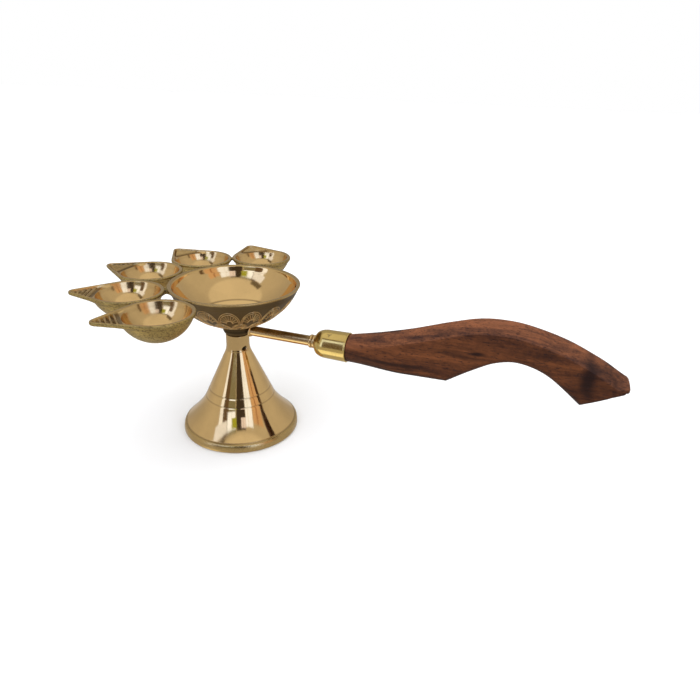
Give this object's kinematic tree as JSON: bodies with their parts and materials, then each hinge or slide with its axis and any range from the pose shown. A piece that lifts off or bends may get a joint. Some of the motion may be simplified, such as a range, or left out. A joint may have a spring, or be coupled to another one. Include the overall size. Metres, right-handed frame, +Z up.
{
  "type": "hand oil lamp",
  "caption": "Brass hand lamp for oil wicks: a round centre bowl and a fan of leaf-shaped cups on a bell foot, with a rod and a carved wooden handle.",
  "frame": {"origin": "on the resting surface, under the middle of the lamp's overall box; the bowl's and foot's shared axis is 55.0 mm from it towards -X", "axes": "+X towards the end of the handle, +Z up, Y across; the lamp is symmetric about Y = 0"},
  "size_m": [0.2658, 0.1394, 0.0834],
  "materials": {
    "bowl_brass": "polished inside, chased and darkened outside",
    "boss_brass": "tarnished, as cast",
    "cup_brass": "polished inside, sand-cast and darkened outside",
    "lug_brass": "dull brazed joint",
    "foot_brass": "turned and polished",
    "rod_brass": "polished",
    "ferrule_brass": "polished",
    "tack_brass": "dark, unpolished",
    "bolt_steel": "zinc-plated",
    "handle_wood": "reddish brown, oiled, dark grain"
  },
  "bodies": {
    "lamp_head": {"centre_bowl": "bowl_brass", "bowl_boss": "boss_brass", "leaf_cup_1": "cup_brass", "cup_lug_1": "lug_brass", "leaf_cup_2": "cup_brass", "cup_lug_2": "lug_brass", "leaf_cup_3": "cup_brass", "cup_lug_3": "lug_brass", "leaf_cup_4": "cup_brass", "cup_lug_4": "lug_brass", "leaf_cup_5": "cup_brass", "cup_lug_5": "lug_brass", "cup_bridge_1": "lug_brass", "cup_bridge_2": "lug_brass", "cup_bridge_3": "lug_brass", "cup_bridge_4": "lug_brass", "handle_rod": "rod_brass", "rod_braze_ring": "rod_brass", "rod_collar": "rod_brass", "ferrule": "ferrule_brass", "ferrule_tack": "tack_brass", "wooden_handle": "handle_wood"},
    "foot": {"bell_foot": "foot_brass", "foot_washer": "bolt_steel"},
    "bolt": {"foot_bolt": "bolt_steel"}
  },
  "joints": [
    {"name": "foot_drop", "type": "slide", "parent": "lamp_head", "child": "foot", "axis": [0, 0, -1], "range_m": [0, 0.0048]},
    {"name": "bolt_turn", "type": "hinge", "parent": "foot", "child": "bolt", "pos_m": [-0.055, 0, 0.045], "axis": [0, 0, -1], "range_deg": [0, 2160]}
  ],
  "couplings": [
    {"joint": "bolt_turn", "follows": "foot_drop", "rad_per_m": 7854}
  ]
}
